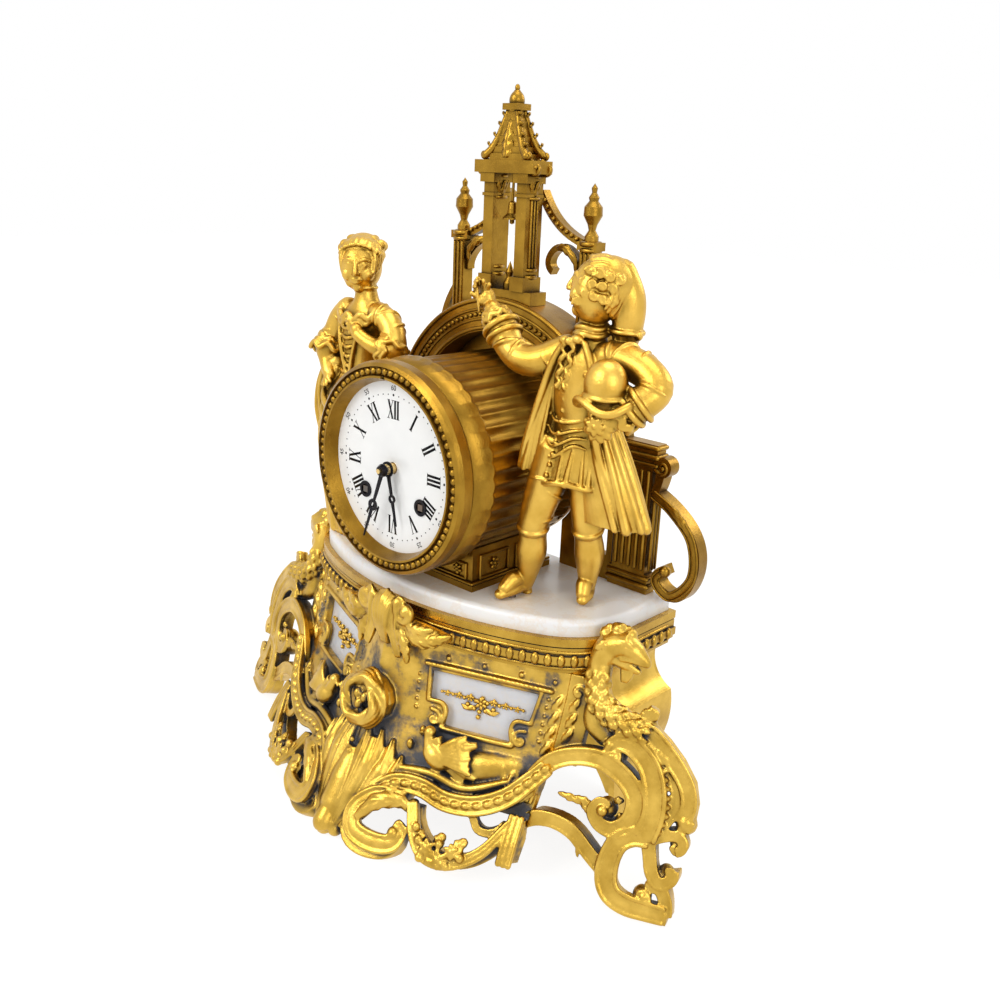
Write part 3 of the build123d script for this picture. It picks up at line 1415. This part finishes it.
# Urn finials on the columns
urn_y = (screen_front + screen_back) / 2
urn_steps = [(3.4, 0), (3.4, 0.1), (1.7, 0.2), (2.4, 0.3), (4.6, 0.45), (4.4, 0.6), (2.2, 0.7), (2.6, 0.76),
             (1.2, 0.84), (1.5, 0.92)]
with BuildPart() as urn:
    with BuildSketch(Plane.XZ.offset(-urn_y)):
        with BuildLine():
            Polyline((urn_x, urn_cap_z), *[(urn_x + radius, urn_cap_z + share * urn_height) for radius,
                                           share in urn_steps],
                     (urn_x, urn_cap_z + urn_height), close=True)
        make_face()
    revolve(axis=Axis((urn_x, urn_y, 0), (0, 0, 1)))
finish(Compound(children=[urn.part, mirror(urn.part, about=Plane.YZ)]), "urn_finials")

# Scroll buttresses outside the pilasters
buttress_x = pilaster_outer - pilaster_step + seat_gap
buttress_curve = [(1.5, 52), (13, 46), (25, 34), (27, 16), (16, 3.5), (7, 9), (12, 16)]
buttress_top = [(1.5, 52), (4, 59), (5, 66)]

with BuildPart() as buttress:
    with BuildSketch(Plane.XZ.offset(-screen_back)):
        add(ribbon([(buttress_x + x, slab_top + z) for x, z in buttress_curve], 5.0))
        with Locations((buttress_x + 5, slab_top + 66)):
            Circle(5)
        add(ribbon([(buttress_x + x, slab_top + z) for x, z in buttress_top], 4.0))
        with Locations((buttress_x - overall / 2, slab_top)):
            Rectangle(overall, overall, mode=Mode.SUBTRACT)
    extrude(amount=screen_back - screen_front)
finish_pair(buttress.part, "scroll_buttress")

# Standing gentleman: coat, breeches, raised right arm, hat under the left arm; heights from the slab
man_limbs = [
    stack([(51.5, 8, 0, 6, 12.5), (51.5, 8, 4, 5.5, 12), (53.5, 15, 9, 3.2, 3.6)]),
    stack([(79, 30.5, 0, 7, 8.5), (79, 30.5, 4, 6.5, 8), (78, 32.8, 9, 3.0, 3.2)]),
    limb((67, 19, 76, 10.5), (64, 15, 58, 9), (61, 12, 42, 7.2), (59.5, 13, 34, 6.4), (58, 14.5, 24, 7),
         (55.5, 15.5, 12, 4.8), (53.5, 16, 5, 4.2)),
    limb((80, 25, 76, 10.5), (80, 26.5, 58, 9), (80, 28, 42, 7.2), (79.5, 30, 34, 6.4), (79, 32.5, 24, 7),
         (78.5, 33, 12, 4.8), (78, 33, 5, 4.2)),
    stack([(73, 21, 62, 17, 13), (75, 22, 74, 15, 12), (77, 22, 87, 12.5, 10.5), (78, 21, 100, 14.5, 11.5),
           (79, 21, 113, 17, 11), (80, 21, 121, 15, 9.5), (80.5, 20.8, 127, 8, 7),
           (81, 20.5, 138, 5.5, 5.5)]),
    stack([(91, 31, 44, 19.5, 11), (89, 29, 58, 18, 11.5), (86, 27, 72, 15.5, 11), (82, 25, 87, 13, 10),
           (80, 23, 104, 14.5, 9.5)]),
    stack([(58, 17, 66, 6.5, 9), (60, 17, 84, 6, 8), (64, 18, 104, 6, 7), (68, 19, 118, 6, 6)]),
    limb((68, 20, 121, 7.5), (58, 16, 116, 7.5), (48, 13.5, 115, 7), (40, 13.5, 119, 6.8),
         (33, 14.5, 127, 7.4),
         (29, 15, 131, 4.6), (24, 17, 135, 4.2), (19.5, 18, 139, 3.6)),
    lump(19, 18, 139, 5.2, 4.6, 6.5),
    limb((91, 20, 121, 7.5), (101, 20.5, 121, 7.5), (112, 20, 118, 7.2), (119, 18, 112, 7),
         (114, 12, 105, 7.4),
         (109, 9, 100, 4.8), (103, 7, 96, 4.5)),
    lump(102, 6, 113, 10, 9, 11),
    lump(102, 7, 105, 14, 10, 4),
    lump(83, 20, 149, 11, 12, 14.5),
    lump(87, 23, 152, 11.5, 12, 12.5),
    lump(87.5, 13.5, 146, 3.6, 4.2, 6.5),
    lump(75.5, 13, 122, 5, 4.5, 9),
    limb((91, 26, 156, 6), (95, 29, 144, 6.4), (96, 31, 130, 5.4), (94, 30, 118, 3)),
]
with BuildPart() as man:
    with Locations((0, 0, slab_top)):
        for form in man_limbs:
            add(form)
    with BuildSketch(Plane.XY.offset(slab_top)):
        with Locations(*man_screws):
            Circle(screw_radius + running_fit)
    extrude(amount=figure_screw_depth, mode=Mode.SUBTRACT)
finish(man.part, "gentleman")

# Standing lady: wide skirt, laced bodice, one hand on the breast; heights from the slab
lady_limbs = [
    stack([(-73, 23, 0, 23, 21), (-75, 23, 26, 23, 22), (-79, 22, 54, 25, 21), (-79, 21, 70, 23, 18.5),
           (-78, 21, 82, 17, 14), (-77, 21, 91, 11, 9.5), (-76, 21, 108, 12.5, 10.5),
           (-75, 21.5, 117, 15.5, 10),
           (-74.5, 22, 123, 14, 8.5), (-74, 22, 129, 7, 6.5), (-74, 21.5, 140, 5, 5)]),
    limb((-62, 21, 122, 6.5), (-54, 20.5, 118, 6.6), (-48.5, 19, 111, 6.6), (-47.5, 16.5, 106, 7.6),
         (-53, 13.5, 106, 5), (-60, 11, 108.5, 4), (-66, 9.5, 112, 3.6)),
    lump(-67.5, 9.5, 114, 4.6, 3.8, 4.6),
    limb((-88, 21, 122, 6.5), (-94, 20.5, 116, 6.6), (-98, 18.5, 106, 6.6), (-99, 16, 99, 7.8),
         (-97, 13.5, 93, 5),
         (-93, 11, 88, 4)),
    stack([(-98, 21, 52, 9, 11), (-98, 20, 66, 10, 11.5), (-96, 18, 80, 8.5, 9.5), (-93, 17, 92, 6, 7)]),
    lump(-75, 16.5, 122, 12, 6, 4.5),
    lump(-76, 20, 146, 10.5, 11.5, 13.5),
    lump(-79, 24, 153, 11, 11.5, 10),
    lump(-85, 25, 145, 4.6, 5, 7.5),
]
with BuildPart() as lady:
    with Locations((0, 0, slab_top)):
        for form in lady_limbs:
            add(form)
    with BuildSketch(Plane.XY.offset(slab_top)):
        with Locations(*lady_screws):
            Circle(screw_radius + running_fit)
    extrude(amount=figure_screw_depth, mode=Mode.SUBTRACT)
finish(lady.part, "lady")
